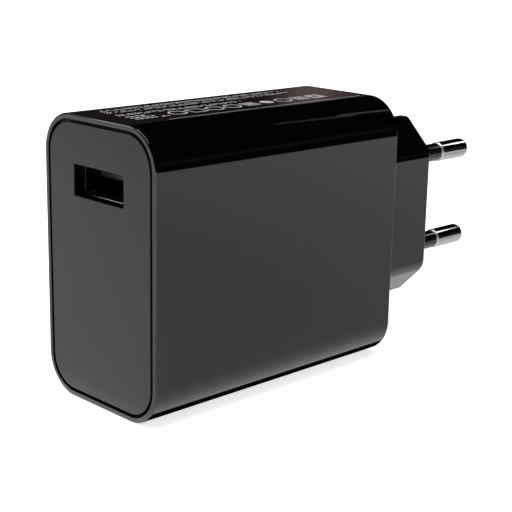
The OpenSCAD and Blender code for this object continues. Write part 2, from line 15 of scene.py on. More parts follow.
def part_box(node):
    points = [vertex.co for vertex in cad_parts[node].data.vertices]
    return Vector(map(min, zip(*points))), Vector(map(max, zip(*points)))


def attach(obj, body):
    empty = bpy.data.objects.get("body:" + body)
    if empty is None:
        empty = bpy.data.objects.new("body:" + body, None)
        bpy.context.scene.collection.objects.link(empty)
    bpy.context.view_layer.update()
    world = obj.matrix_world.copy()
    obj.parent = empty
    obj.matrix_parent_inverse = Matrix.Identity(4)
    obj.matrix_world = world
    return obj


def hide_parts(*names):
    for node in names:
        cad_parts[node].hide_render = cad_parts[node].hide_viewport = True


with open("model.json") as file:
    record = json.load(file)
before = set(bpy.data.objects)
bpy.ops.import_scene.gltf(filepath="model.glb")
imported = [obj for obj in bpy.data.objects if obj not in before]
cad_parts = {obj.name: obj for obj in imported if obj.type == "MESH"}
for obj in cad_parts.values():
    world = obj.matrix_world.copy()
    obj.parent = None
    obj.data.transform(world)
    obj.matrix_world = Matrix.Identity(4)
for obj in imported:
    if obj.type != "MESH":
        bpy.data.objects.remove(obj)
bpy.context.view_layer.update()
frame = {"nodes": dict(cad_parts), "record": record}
NODES = frame["nodes"]
MM = 0.001
BODY = "charger"


def cad(node):
    """Lowest and highest corner of a CAD node, in millimetres."""
    lo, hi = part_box(node)
    return Vector(lo) / MM, Vector(hi) / MM


# ---------------------------------------------------------------- sizes, in millimetres

case_lo, case_hi = cad("body_shell")
cover_lo, cover_hi = cad("front_cover")
label_lo, label_hi = cad("rating_label")
pin_lo, pin_hi = cad("upper_pin")
sleeve_end = cad("upper_pin_sleeve")[1].y

# the case runs from the port's end, Y_FRONT, to Y_BACK, where the plug block starts; its face is at y = 0
BODY_W = case_hi.x - case_lo.x
BODY_H = case_hi.z - case_lo.z
BODY_R, WALL, RIM = 6.8, 2.0, 0.9
Y_FRONT, Y_BACK = case_lo.y, -19.5
Y_SEAT = Y_FRONT + 2.0
EDGE_OUT, EDGE_IN, EDGE_REAR = 0.28, 0.08, 0.3
CASE_SEG = 24

PLUG_T, PLUG_H, PLUG_TIP = 13.9, 35.8, 2.0
PLUG_SIDE_R, PLUG_TIP_R = 3.9, 0.9
PLUG_WALL, PLUG_IN_TIP_R = 1.8, 0.5
EDGE_PLUG, END_WALL = 0.4, 3.0
PIN_Z = (pin_lo.z + pin_hi.z) / 2
PIN_HOLE, HOLE_EDGE = 2.05, 0.12

COVER_EDGE, COVER_GAP, COVER_SEG = 0.1, 0.55, 20
PORT_Z = 13.7
WINDOW_W, WINDOW_H, WINDOW_R, WINDOW_EDGE = 13.0, 5.3, 0.3, 0.12
POCKET_W, POCKET_H = 13.3, 5.92
BOSS_W, BOSS_H, BOSS_R, BOSS_DEPTH = 16.0, 7.7, 0.6, 1.5
SKIRT, SKIRT_T, SKIRT_GAP = 3.0, 1.2, 0.15

# the label lies in a shallow recess of the top face, and its film and print stay below that face
RECESS, LABEL_GAP, LABEL_R = 0.1, 0.1, 1.0
FILM_SINK, FILM_EDGE = 0.02, 0.02
PRINT_SINK, PRINT_T = 0.004, 0.02

back, front, up = Vector((0, 1, 0)), Vector((0, -1, 0)), Vector((0, 0, 1))


# ---------------------------------------------------------------- mesh code

def direction(degrees):
    a = math.radians(degrees)
    return Vector((math.cos(a), math.sin(a)))


def on_y(p, y=0.0):
    """A point or a normal of an outline that lies across Y, as the case's does."""
    return Vector((p.x, y, p.y))


def on_z(p, z=0.0):
    """A point or a normal of an outline that lies flat, as the label's does."""
    return Vector((p.x, p.y, z))


class Profile:
    """A closed outline of arcs joined by straight lines.

    A corner is (x, z, first normal angle, last normal angle, radius).
    """

    def __init__(self, corners, seg):
        self.arcs = []
        for x, z, a0, a1, r in corners:
            n0, n1 = direction(a0), direction(a1)
            self.arcs.append((Vector((x, z)) - r * (n0 + n1) / (1 + n0.dot(n1)), a0, a1, r))
        self.seg = seg

    def points(self, inset=0.0):
        out = []
        for centre, a0, a1, r in self.arcs:
            for k in range(self.seg + 1):
                n = direction(a0 + (a1 - a0) * k / self.seg)
                out.append((centre + n * (r - inset), n))
        return out


class Circle:
    """A round outline about (x, z)."""

    def __init__(self, r, at, seg=48):
        self.r, self.centre, self.seg = r, Vector(at), seg

    def points(self, inset=0.0):
        normals = [direction(360 * k / self.seg) for k in range(self.seg)]
        return [(self.centre + n * (self.r - inset), n) for n in normals]


def rounded_rect(w, h, r, seg=16, at=(0.0, 0.0)):
    x, z = w / 2, h / 2
    cx, cz = at
    return Profile([
        (cx + x, cz + z, 0, 90, r), (cx - x, cz + z, 90, 180, r),
        (cx - x, cz - z, 180, 270, r), (cx + x, cz - z, 270, 360, r),
    ], seg)


def case_outline(inset, seg):
    """The case's outline moved in by inset, with the same corner centres."""
    return rounded_rect(BODY_W - 2 * inset, BODY_H - 2 * inset, BODY_R - inset, seg)


def plug_outline(inset, side_r, tip_r, seg=8):
    """The plug block's long octagon moved in by inset."""
    t, h = PLUG_T / 2 - inset, PLUG_H / 2 - inset
    flank = (PLUG_H + PLUG_TIP) / 2 - inset * math.sqrt(2)
    s, p = flank - t, flank - h
    return Profile([
        (t, s, 0, 45, side_r), (p, h, 45, 90, tip_r),
        (-p, h, 90, 135, tip_r), (-t, s, 135, 180, side_r),
        (-t, -s, 180, 225, side_r), (-p, -h, 225, 270, tip_r),
        (p, -h, 270, 315, tip_r), (t, -s, 315, 360, side_r),
    ], seg)


class Skin:
    """Collects faces with an exact normal at every corner, so that flats stay flat and fillets stay round."""

    def __init__(self):
        self.v, self.f, self.n = [], [], []

    def ring(self, points):
        first = len(self.v)
        self.v += [Vector(p) for p in points]
        return list(range(first, len(self.v)))

    def across(self, outline, y, inset=0.0):
        """The ring of an outline that lies across Y."""
        return self.ring([on_y(p, y) for p, n in outline.points(inset)])

    def level(self, outline, z, inset=0.0):
        """The ring of an outline that lies flat."""
        return self.ring([on_z(p, z) for p, n in outline.points(inset)])

    def face(self, idx, normals):
        turn = Vector((0, 0, 0))
        for k in range(len(idx)):
            turn += self.v[idx[k]].cross(self.v[idx[(k + 1) % len(idx)]])
        if turn.dot(sum(normals, Vector((0, 0, 0)))) < 0:
            idx, normals = idx[::-1], normals[::-1]
        self.f.append(list(idx))
        self.n.append(list(normals))

    def band(self, ra, rb, na, nb):
        """Joins two rings; na and nb are the normals along them."""
        m = len(ra)
        for k in range(m):
            j = (k + 1) % m
            self.face([ra[k], ra[j], rb[j], rb[k]], [na[k], na[j], nb[j], nb[k]])

    def wall(self, outline, ra, rb, sign=1, on=on_y):
        """A straight wall between two rings of an outline; sign is -1 where it faces inwards."""
        normals = [on(n * sign) for p, n in outline.points()]
        self.band(ra, rb, normals, normals)

    def cap(self, rings, normal):
        """Fills a flat area: the first ring is its outline and the others are holes."""
        flat = [i for ring in rings for i in ring]
        for tri in tessellate_polygon([[self.v[i] for i in ring] for ring in rings]):
            a, b, c = (flat[k] for k in tri)
            area = (self.v[b] - self.v[a]).cross(self.v[c] - self.v[a])
            if area.length > 1e-9:
                self.face([a, b, c], [normal] * 3)

    def edge(self, outline, first, inset, y, r, a0, a1, steps=5):
        """Carries on from ring first round an edge of radius r about (inset, y) and returns the last ring.

        The normal leans from a0 to a1 degrees: 0 is outwards, 90 is +Y and 180 is inwards.
        """
        def normals(lean):
            return [on_y(n * lean.x, lean.y) for p, n in outline.points()]

        last, last_n = first, normals(direction(a0))
        for k in range(1, steps + 1):
            lean = direction(a0 + (a1 - a0) * k / steps)
            ring, here = self.across(outline, y + r * lean.y, inset - r * lean.x), normals(lean)
            self.band(last, ring, last_n, here)
            last, last_n = ring, here
        return last

    def hole_edge(self, outline, first, y, r, steps=4):
        """A rounded edge of radius r from a front face at y into a hole.

        Ring first lies on the face, r outside the hole.
        """
        last, last_n = first, [front] * len(first)
        for k in range(1, steps + 1):
            lean = direction(90 * k / steps)
            ring = self.across(outline, y + r - r * lean.x, r * lean.y - r)
            here = [on_y(-n) * lean.y + front * lean.x for p, n in outline.points()]
            self.band(last, ring, last_n, here)
            last, last_n = ring, here
        return last

    def piece(self, name, slot, replaced=(), material=None):
        """Makes the object. It wears the material named like its slot, or another one of M."""
        mesh = bpy.data.meshes.new(name)
        mesh.from_pydata([p * MM for p in self.v], [], self.f)
        mesh.polygons.foreach_set("use_smooth", [True] * len(mesh.polygons))
        mesh.update()
        mesh.normals_split_custom_set([tuple(n.normalized()) for face in self.n for n in face])
        mesh.materials.append(M[material or slot])
        obj = bpy.data.objects.new(name, mesh)
        bpy.context.scene.collection.objects.link(obj)
        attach(obj, BODY)
        if replaced:
            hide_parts(*replaced)
        return obj


def second_material(obj, name, wanted):
    """Puts another material of M on the faces whose middle, in millimetres, passes the test wanted."""
    obj.data.materials.append(M[name])
    for polygon in obj.data.polygons:
        if wanted(polygon.center / MM):
            polygon.material_index = 1


# ---------------------------------------------------------------- materials

class Nodes:
    """Short forms for building a node tree."""

    def __init__(self, tree):
        self.tree = tree
        tree.nodes.clear()

    def add(self, kind, **values):
        node = self.tree.nodes.new(kind)
        for key, value in values.items():
            self.put(node, key, value)
        return node

    def put(self, node, key, value):
        socket = node.inputs[key]
        if isinstance(value, bpy.types.NodeSocket):
            self.tree.links.new(value, socket)
        else:
            socket.default_value = value

    def math(self, op, a, b=None, clamp=False):
        node = self.tree.nodes.new("ShaderNodeMath")
        node.operation = op
        node.use_clamp = clamp
        self.put(node, 0, a)
        if b is not None:
            self.put(node, 1, b)
        return node.outputs[0]

    def plus(self, total, *others):
        for value in others:
            total = self.math("ADD", total, value)
        return total

    def minus(self, a, b):
        return self.math("SUBTRACT", a, b)

    def times(self, total, *others):
        for value in others:
            total = self.math("MULTIPLY", total, value)
        return total

    def span(self, value, a, b, c, d, smooth=False):
        """Maps a..b onto c..d and holds the ends."""
        node = self.tree.nodes.new("ShaderNodeMapRange")
        node.interpolation_type = "SMOOTHSTEP" if smooth else "LINEAR"
        for k, x in enumerate((value, a, b, c, d)):
            self.put(node, k, x)
        return node.outputs[0]

    def mix(self, fac, a, b):
        node = self.tree.nodes.new("ShaderNodeMix")
        node.data_type = "RGBA"
        for key, value in ((0, fac), (6, a), (7, b)):
            self.put(node, key, value)
        return node.outputs[2]

    def mix_shader(self, fac, a, b):
        node = self.tree.nodes.new("ShaderNodeMixShader")
        for key, value in enumerate((fac, a.outputs[0], b.outputs[0])):
            self.put(node, key, value)
        return node

    def noise(self, where, scale, detail=2.0, rough=0.5):
        node = self.add("ShaderNodeTexNoise", Vector=where, Scale=scale, Detail=detail, Roughness=rough)
        return node.outputs["Fac"]

    def bump(self, height, strength, distance):
        return self.add("ShaderNodeBump", Strength=strength, Distance=distance, Height=height).outputs[0]

    def end(self, kind, shader):
        """Joins the last shader to the tree's output."""
        self.tree.links.new(shader.outputs[0], self.tree.nodes.new(kind).inputs[0])


M = {}


def principled(name, sockets):
    """A new material in M with one shader; sockets gives values for its inputs."""
    M[name] = bpy.data.materials.new(name)
    M[name].use_nodes = True
    n = Nodes(M[name].node_tree)
    bsdf = n.add("ShaderNodeBsdfPrincipled")
    n.end("ShaderNodeOutputMaterial", bsdf)
    for key, value in sockets.items():
        bsdf.inputs[key.replace("_", " ")].default_value = value
    return n, bsdf, n.add("ShaderNodeTexCoord").outputs["Object"]


def surface(name, dark, light, rough, spread=0.05, grain=9000.0, depth=4e-6, blotch=180.0, **sockets):
    """A moulded surface: fine grain in the bump, slow blotches in colour and roughness, and faint scuffs."""
    n, bsdf, where = principled(name, sockets)
    slow = n.noise(where, blotch, 3.0, 0.55)
    fine = n.noise(where, grain, 2.0, 0.6)
    wear = n.noise(where, blotch * 6, 4.0, 0.7)
    n.put(bsdf, "Base Color", n.mix(n.span(slow, 0.3, 0.7, 0.0, 1.0), (*dark, 1.0), (*light, 1.0)))
    level = n.span(slow, 0.3, 0.7, rough - spread, rough + spread)
    n.put(bsdf, "Roughness", n.plus(level, n.span(wear, 0.5, 0.8, 0.0, spread)))
    n.put(bsdf, "Normal", n.bump(fine, 0.35, depth))


def turned_metal(name, dark, light, rough, axis="y", lines=5200.0, depth=3e-6, metallic=1.0, shade_from=None):
    """Metal with fine turning or drawing lines round or along one axis.

    Further out along X than its last argument, its colour is painted nearly black: painted shade.
    """
    n, bsdf, where = principled(name, {"Metallic": metallic})
    stretch = {"x": (1, 0.05, 0.05), "y": (0.05, 1, 0.05), "z": (0.05, 0.05, 1)}[axis]
    mapped = n.add("ShaderNodeMapping", Vector=where, Scale=stretch).outputs[0]
    line = n.noise(mapped, lines, 3.0, 0.6)
    slow = n.noise(where, 420.0, 3.0, 0.6)
    colour = n.mix(n.span(slow, 0.3, 0.7, 0.0, 1.0), (*dark, 1.0), (*light, 1.0))
    if shade_from:
        off = n.math("ABSOLUTE", n.add("ShaderNodeSeparateXYZ", Vector=where).outputs[0])
        # painted shade: the colour goes nearly black away from the middle along X
        painted_shade = n.span(off, shade_from, shade_from + 0.1 * MM, 0.0, 1.0)
        colour = n.mix(painted_shade, colour, (0.03, 0.03, 0.03, 1.0))
    n.put(bsdf, "Base Color", colour)
    level = n.span(line, 0.3, 0.7, rough - 0.04, rough + 0.04)
    n.put(bsdf, "Roughness", n.plus(level, n.span(slow, 0.4, 0.8, 0.0, 0.06)))
    n.put(bsdf, "Normal", n.bump(line, 0.4, depth))


surface("case_plastic", (0.0004, 0.0004, 0.0005), (0.0011, 0.0011, 0.0012),
        0.055, 0.012, grain=5000, depth=8e-7)
surface("cover_plastic", (0.0078, 0.0078, 0.0098), (0.0105, 0.0104, 0.0128),
        0.30, 0.02, grain=9000, depth=3e-6, Specular_IOR_Level=0.32)
surface("label_ink", (0.0006, 0.0006, 0.0006), (0.0014, 0.0013, 0.0013),
        0.13, 0.02, grain=5000, depth=8e-7)
# light grey print, also used for a painted highlight along the label film's edge
surface("print_and_glint_ink", (0.42, 0.41, 0.41), (0.60, 0.58, 0.58), 0.5, 0.05, grain=14000, blotch=900)
turned_metal("plated_metal", (0.38, 0.38, 0.37), (0.45, 0.45, 0.44), 0.10, "y")
turned_metal("cut_metal", (0.62, 0.62, 0.61), (0.70, 0.70, 0.69), 0.45, "y")
surface("sleeve_plastic", (0.002, 0.002, 0.002), (0.004, 0.004, 0.004),
        0.16, 0.03, grain=12000, depth=2e-6)
surface("inner_plastic", (0.03, 0.03, 0.03), (0.05, 0.05, 0.05), 0.45)
turned_metal("spring_brass", (0.62, 0.45, 0.20), (0.72, 0.55, 0.28), 0.28, "z")
# the shell's side walls get painted shade, nearly black beyond 6.1 mm from the middle
turned_metal("shell_steel", (0.42, 0.42, 0.42), (0.50, 0.50, 0.50),
             0.22, "y", lines=2600.0, shade_from=6.1 * MM)
surface("tongue_plastic", (0.010, 0.010, 0.011), (0.016, 0.016, 0.017), 0.38, 0.04, grain=12000)
turned_metal("contact_gold", (0.85, 0.60, 0.22), (0.95, 0.72, 0.32), 0.18, "x")
surface("board_green", (0.012, 0.08, 0.03), (0.025, 0.13, 0.05), 0.30, 0.05, blotch=500)
surface("sheet_film", (0.62, 0.58, 0.44), (0.72, 0.68, 0.54), 0.4, 0.05)
turned_metal("spreader_aluminium", (0.66, 0.67, 0.68), (0.76, 0.77, 0.78), 0.32, "z", lines=3000.0)
surface("pad_rubber", (0.34, 0.40, 0.46), (0.42, 0.49, 0.55), 0.75, 0.05, grain=5000, depth=1e-5)
surface("ferrite", (0.035, 0.035, 0.038), (0.06, 0.06, 0.064), 0.55, 0.08, grain=5000, depth=1e-5)
surface("bobbin_plastic", (0.03, 0.022, 0.018), (0.045, 0.035, 0.03), 0.42)
turned_metal("copper_enamel", (0.48, 0.17, 0.05), (0.62, 0.26, 0.09),
             0.25, "z", lines=2400.0, depth=4e-5, metallic=0.75)
turned_metal("insulated_wire", (0.62, 0.47, 0.08), (0.75, 0.60, 0.14),
             0.35, "z", lines=1500.0, depth=6e-5, metallic=0.0)
surface("yellow_tape", (0.70, 0.48, 0.08), (0.80, 0.58, 0.13), 0.28, 0.04)
turned_metal("tinned_lead", (0.62, 0.62, 0.62), (0.74, 0.74, 0.74), 0.3, "x")
turned_metal("can_aluminium", (0.70, 0.71, 0.72), (0.80, 0.81, 0.82), 0.26, "x", lines=2600.0)
surface("capacitor_sleeve", (0.012, 0.02, 0.06), (0.02, 0.035, 0.09), 0.22, 0.03)
surface("seal_rubber", (0.02, 0.02, 0.02), (0.035, 0.035, 0.035), 0.7)
surface("fuse_plastic", (0.035, 0.02, 0.014), (0.05, 0.032, 0.022), 0.4)
surface("yellow_box", (0.66, 0.44, 0.04), (0.76, 0.52, 0.07), 0.32)
surface("green_coating", (0.03, 0.18, 0.05), (0.05, 0.25, 0.08), 0.25, grain=1800, depth=3e-5)
surface("blue_coating", (0.03, 0.12, 0.38), (0.05, 0.17, 0.48), 0.25, grain=1800, depth=3e-5)
surface("chip_resin", (0.014, 0.014, 0.015), (0.022, 0.022, 0.024), 0.55, grain=8000, depth=6e-6)
surface("chip_ceramic", (0.42, 0.30, 0.18), (0.52, 0.39, 0.25), 0.45, grain=8000)

for entry in frame["record"]["subparts"]:
    obj = NODES[entry["node"]]
    for slot in obj.material_slots:
        slot.material = M[entry["material_slot"]]


# ---------------------------------------------------------------- case

outer = case_outline(0.0, CASE_SEG)
inner = case_outline(WALL, CASE_SEG)
plug = plug_outline(0.0, PLUG_SIDE_R, PLUG_TIP_R)
plug_inner = plug_outline(PLUG_WALL, PLUG_SIDE_R - PLUG_WALL, PLUG_IN_TIP_R)

skin = Skin()
# the cavity, the cover's seat, and the rim with its two rounded edges
cavity = skin.across(inner, Y_BACK - WALL)
cavity_front = skin.across(inner, Y_SEAT)
skin.wall(inner, cavity, cavity_front, -1)
seat = skin.across(outer, Y_SEAT, RIM)
skin.cap([seat, cavity_front], front)
lip = skin.across(outer, Y_FRONT + EDGE_IN, RIM)
skin.wall(outer, seat, lip, -1)
rim_in = skin.edge(outer, lip, RIM - EDGE_IN, Y_FRONT + EDGE_IN, EDGE_IN, 180, 270, 4)
rim_out = skin.across(outer, Y_FRONT, EDGE_OUT)
flat = [front] * len(rim_in)
skin.band(rim_in, rim_out, flat, flat)

# the outside; its face from TOP_AT to the next point is the flat top, which has the label's recess
TOP_AT = CASE_SEG
near_end = skin.edge(outer, rim_out, EDGE_OUT, Y_FRONT + EDGE_OUT, EDGE_OUT, 270, 360, 6)
far_end = skin.across(outer, Y_BACK - EDGE_REAR)
side_n = [on_y(n) for p, n in outer.points()]
for k in range(len(near_end)):
    j = (k + 1) % len(near_end)
    if k != TOP_AT:
        normals = [side_n[k], side_n[j], side_n[j], side_n[k]]
        skin.face([near_end[k], near_end[j], far_end[j], far_end[k]], normals)
top_z = BODY_H / 2
recess_z = top_z - RECESS
label_w, label_l = label_hi.x - label_lo.x, label_hi.y - label_lo.y
label_at = ((label_lo.x + label_hi.x) / 2, (label_lo.y + label_hi.y) / 2)
recess = rounded_rect(label_w + 2 * LABEL_GAP, label_l + 2 * LABEL_GAP, LABEL_R + LABEL_GAP, 8, label_at)
recess_top = skin.level(recess, top_z)
recess_low = skin.level(recess, recess_z)
top = [near_end[TOP_AT], near_end[TOP_AT + 1], far_end[TOP_AT + 1], far_end[TOP_AT]]
skin.cap([top, recess_top], up)
skin.wall(recess, recess_top, recess_low, -1, on_z)
skin.cap([recess_low], up)
rear = skin.edge(outer, far_end, EDGE_REAR, Y_BACK - EDGE_REAR, EDGE_REAR, 0, 90, 6)

# the plug block, with a hole for each pin
root = skin.across(plug, Y_BACK)
skin.cap([rear, root], back)
plug_end = skin.across(plug, -EDGE_PLUG)
skin.wall(plug, root, plug_end)
plug_face = skin.edge(plug, plug_end, EDGE_PLUG, -EDGE_PLUG, EDGE_PLUG, 0, 90, 6)
holes_out, holes_in = [], []
for s in (1, -1):
    hole = Circle(PIN_HOLE, (0, s * PIN_Z))
    mouth = skin.across(hole, 0, -HOLE_EDGE)
    bore = skin.across(hole, -HOLE_EDGE)
    bore_end = skin.across(hole, -END_WALL)
    slanted = [(on_y(-n) + back).normalized() for p, n in hole.points()]
    skin.band(mouth, bore, slanted, slanted)
    skin.wall(hole, bore, bore_end, -1)
    holes_out.append(mouth)
    holes_in.append(bore_end)
skin.cap([plug_face] + holes_out, back)
plug_in = skin.across(plug_inner, -END_WALL)
plug_in_root = skin.across(plug_inner, Y_BACK - WALL)
skin.cap([plug_in] + holes_in, front)
skin.wall(plug_inner, plug_in, plug_in_root, -1)
skin.cap([cavity, plug_in_root], front)
skin.piece("case", "case_plastic", ["body_shell"])


# ---------------------------------------------------------------- front cover

plate = rounded_rect(cover_hi.x - cover_lo.x, cover_hi.z - cover_lo.z, BODY_R - RIM - COVER_GAP, COVER_SEG)
window = rounded_rect(WINDOW_W, WINDOW_H, WINDOW_R, 6, (0, PORT_Z))
pocket = rounded_rect(POCKET_W, POCKET_H, WINDOW_R, 6, (0, PORT_Z))
boss = rounded_rect(BOSS_W, BOSS_H, BOSS_R, 6, (0, PORT_Z))
skirt_out = case_outline(WALL + SKIRT_GAP, COVER_SEG)
skirt_in = case_outline(WALL + SKIRT_GAP + SKIRT_T, COVER_SEG)

skin = Skin()
plate_back = skin.across(plate, Y_SEAT)
plate_side = skin.across(plate, Y_FRONT + COVER_EDGE)
skin.wall(plate, plate_back, plate_side)
plate_front = skin.edge(plate, plate_side, COVER_EDGE, Y_FRONT + COVER_EDGE, COVER_EDGE, 360, 270)
window_front = skin.across(window, Y_FRONT, -WINDOW_EDGE)
skin.cap([plate_front, window_front], front)
window_edge = skin.hole_edge(window, window_front, Y_FRONT, WINDOW_EDGE)
window_back = skin.across(window, Y_SEAT)
skin.wall(window, window_edge, window_back, -1)

# behind the plate: a boss round the port's pocket, and a skirt that goes into the cavity
pocket_front = skin.across(pocket, Y_SEAT)
skin.cap([pocket_front, window_back], back)
pocket_back = skin.across(pocket, Y_SEAT + BOSS_DEPTH)
skin.wall(pocket, pocket_front, pocket_back, -1)
boss_back = skin.across(boss, Y_SEAT + BOSS_DEPTH)
skin.cap([boss_back, pocket_back], back)
boss_root = skin.across(boss, Y_SEAT)
skin.wall(boss, boss_back, boss_root)
skirt_in_root = skin.across(skirt_in, Y_SEAT)
skin.cap([skirt_in_root, boss_root], back)
skirt_in_end = skin.across(skirt_in, Y_SEAT + SKIRT)
skin.wall(skirt_in, skirt_in_root, skirt_in_end, -1)
skirt_out_end = skin.across(skirt_out, Y_SEAT + SKIRT)
skin.cap([skirt_out_end, skirt_in_end], back)
skirt_out_root = skin.across(skirt_out, Y_SEAT)
skin.wall(skirt_out, skirt_out_end, skirt_out_root)
skin.cap([plate_back, skirt_out_root], back)
cover = skin.piece("cover", "cover_plastic", ["front_cover"])


def in_window(c, margin=0.01):
    beside = abs(c.x) < WINDOW_W / 2 + margin and abs(c.z - PORT_Z) < WINDOW_H / 2 + margin
    return beside and c.y > Y_FRONT + WINDOW_EDGE


# the walls of the window are as glossy as the case
second_material(cover, "case_plastic", in_window)


# ---------------------------------------------------------------- label

film_z, print_z = top_z - FILM_SINK, top_z - PRINT_SINK
outline = rounded_rect(label_w, label_l, LABEL_R, 8, label_at)
film = Skin()
film_low = film.level(outline, recess_z)
film_side = film.level(outline, film_z - FILM_EDGE)
film_top = film.level(outline, film_z, FILM_EDGE)
film.wall(outline, film_low, film_side, 1, on_z)
slanted = [(on_z(n) + up).normalized() for p, n in outline.points()]
film.band(film_side, film_top, slanted, slanted)
film.cap([film_top], up)
film.cap([film_low], -up)
film.piece("label", "label_ink", ["rating_label"])

# plain bars and shapes stand in for the printing: no letters, numbers or marks; the long bar made last is a
# painted highlight along the film's edge
marks = Skin()


def mark(shape, holes=()):
    """A printed shape, or a painted highlight, that reaches down into the film; holes are outlines inside it.
    """
    rings = [marks.ring([Vector((x, y, print_z)) for x, y in points]) for points in (shape, *holes)]
    marks.cap(rings, up)
    middle = sum((marks.v[i] for i in rings[0]), Vector((0, 0, 0))) / len(rings[0])
    for ring in rings:
        low = marks.ring([marks.v[i] - PRINT_T * up for i in ring])
        sign = 1 if ring is rings[0] else -1
        normals = [(marks.v[i] - middle).normalized() * sign for i in ring]
        marks.band(ring, low, normals, normals)


def bar(x, y, w, h):
    """A bar with its middle at (x, y), w along Y and h along X."""
    mark([(x - h / 2, y - w / 2), (x + h / 2, y - w / 2), (x + h / 2, y + w / 2), (x - h / 2, y + w / 2)])


def disc(x, y, r, sides, turn):
    """A round outline, or a regular one with few sides."""
    corners = [turn + 2 * math.pi * k / sides for k in range(sides)]
    return [(x + r * math.cos(a), y + r * math.sin(a)) for a in corners]


rnd = random.Random(7)


def row_of_bars(x, y0, y1, tall, widths, gap):
    """A row of short bars along Y from y0 to y1, in groups as words would be."""
    y = y0
    while y < y1:
        w = rnd.choice(widths)
        bar(x, y + w / 2, w, tall)
        y += w + (gap if rnd.random() < 0.8 else 3 * gap)


# (x, first y, last y) of the fine rows
FINE_ROWS = ((-6.4, -71.0, -29.0), (-5.6, -71.6, -33.0), (-4.3, -71.9, -29.5),
             (-3.5, -71.9, -31.0), (-1.2, -71.9, -44.0), (-0.4, -71.9, -46.0))
for x, y0, y1 in FINE_ROWS:
    row_of_bars(x, y0, y1, 0.42, (0.2, 0.3, 0.45), 0.3)
for x in (1.3, 2.6, 3.9):
    row_of_bars(x, -71.8, -69.5 + 1.2 * x, 0.55, (0.4, 0.6, 0.8), 0.35)

# (radius, radius of the hole or 0, sides, turn)
SHAPES = {
    "ring": (1.7, 1.35, 20, 0.0), "disc": (1.3, 0, 20, 0.0), "hexagon": (1.9, 1.55, 6, 0.0),
    "square": (2.2, 1.85, 4, math.pi / 4), "frame": (2.2, 1.2, 4, math.pi / 4),
}
SYMBOL_X, SYMBOL_Y, SYMBOL_PITCH = 2.6, -62.0, 4.1
SYMBOLS = ("ring", "square", "hexagon", "ring", "bars", "disc", "hexagon", "bars", "frame")
for k, kind in enumerate(SYMBOLS):
    y = SYMBOL_Y + k * SYMBOL_PITCH
    if kind in SHAPES:
        r, hole_r, sides, turn = SHAPES[kind]
        mark(disc(SYMBOL_X, y, r, sides, turn), [disc(SYMBOL_X, y, hole_r, sides, turn)] if hole_r else ())
    else:
        for step in (-1.2, -0.4, 0.4, 1.2):
            bar(SYMBOL_X, y + step, 0.4, 3.0)

# a painted highlight: a thin light line along the film's +X edge, where that edge glints
GLINT_X, GLINT_T, GLINT_SHIFT, GLINT_ENDS = 6.95, 0.16, 2.0, 6.0
bar(GLINT_X, label_at[1] + GLINT_SHIFT, label_l - GLINT_ENDS, GLINT_T)
marks.piece("label_print_and_glint", "label_ink", material="print_and_glint_ink")


# ---------------------------------------------------------------- pins and sleeves

PIN_R, CORE_R, FLANGE_R, TIP_R, SLEEVE_R = 2.0, 1.5, 3.2, 1.1, 1.825
PIN_TAIL, FLANGE_BACK = -11.0, -4.2
TAIL_EDGE, TIP_STEPS = 0.2, 10
COLLAR, COLLAR_LEN = 0.26, 0.45
SLEEVE_EDGE, SLEEVE_EDGE_MID = 0.12, 0.035
PIN_SEG = 64


def lathe(name, path, z, slot, replaced):
    """A turned piece about the axis of the pin at z.

    A step of path is (radius, y, angle before, angle after): 0 is outwards and 90 is +Y.
    """
    turned = Skin()
    spokes = [direction(360 * k / PIN_SEG) for k in range(PIN_SEG)]
    rings = []
    for r, y, before, after in path:
        rings.append(turned.ring([Vector((r * p.x, y, z + r * p.y)) for p in (spokes if r else spokes[:1])]))

    def normals(angle):
        lean = direction(angle)
        return [on_y(p * lean.x, lean.y) for p in spokes]

    for i in range(len(path) - 1):
        na, nb = normals(path[i][3]), normals(path[i + 1][2])
        ra, rb = rings[i], rings[i + 1]
        for k in range(PIN_SEG):
            j = (k + 1) % PIN_SEG
            if len(ra) == 1:
                turned.face([ra[0], rb[j], rb[k]], [na[k], nb[j], nb[k]])
            elif len(rb) == 1:
                turned.face([ra[k], ra[j], rb[0]], [na[k], na[j], nb[k]])
            else:
                turned.face([ra[k], ra[j], rb[j], rb[k]], [na[k], na[j], nb[j], nb[k]])
    return turned.piece(name, slot, replaced)


def pin_path(length):
    path = [(0, PIN_TAIL, -90, -90), (CORE_R - TAIL_EDGE, PIN_TAIL, -90, -45),
            (CORE_R, PIN_TAIL + TAIL_EDGE, -45, 0), (CORE_R, FLANGE_BACK, 0, -90),
            (FLANGE_R, FLANGE_BACK, -90, 0), (FLANGE_R, -END_WALL, 0, 90),
            (CORE_R, -END_WALL, 90, 0), (CORE_R, sleeve_end, 0, -90),
            (PIN_R - COLLAR, sleeve_end, -90, -50), (PIN_R, sleeve_end + COLLAR_LEN, -30, 0)]
    for k in range(TIP_STEPS + 1):
        a = 90 * k / TIP_STEPS
        lean = direction(a)
        path.append((PIN_R - TIP_R + TIP_R * lean.x, length - TIP_R + TIP_R * lean.y, a, a))
    return path + [(0, length, 90, 90)]


def sleeve_path(end):
    return [(CORE_R, -END_WALL, 180, -90), (SLEEVE_R, -END_WALL, -90, 0), (SLEEVE_R, end - SLEEVE_EDGE, 0, 0),
            (SLEEVE_R - SLEEVE_EDGE_MID, end - SLEEVE_EDGE_MID, 45, 45), (SLEEVE_R - SLEEVE_EDGE, end, 90, 90),
            (CORE_R, end, 90, 180), (CORE_R, -END_WALL, 180, 180)]


for tag, s in (("upper", 1), ("lower", -1)):
    pin = lathe(f"{tag}_contact_pin", pin_path(pin_hi.y), s * PIN_Z, "plated_metal", [f"{tag}_pin"])
    second_material(pin, "cut_metal", lambda c: sleeve_end < c.y < sleeve_end + COLLAR_LEN)
    lathe(f"{tag}_sleeve", sleeve_path(sleeve_end), s * PIN_Z, "sleeve_plastic", [f"{tag}_pin_sleeve"])


# ---------------------------------------------------------------- USB receptacle: CAD pieces with eased edges

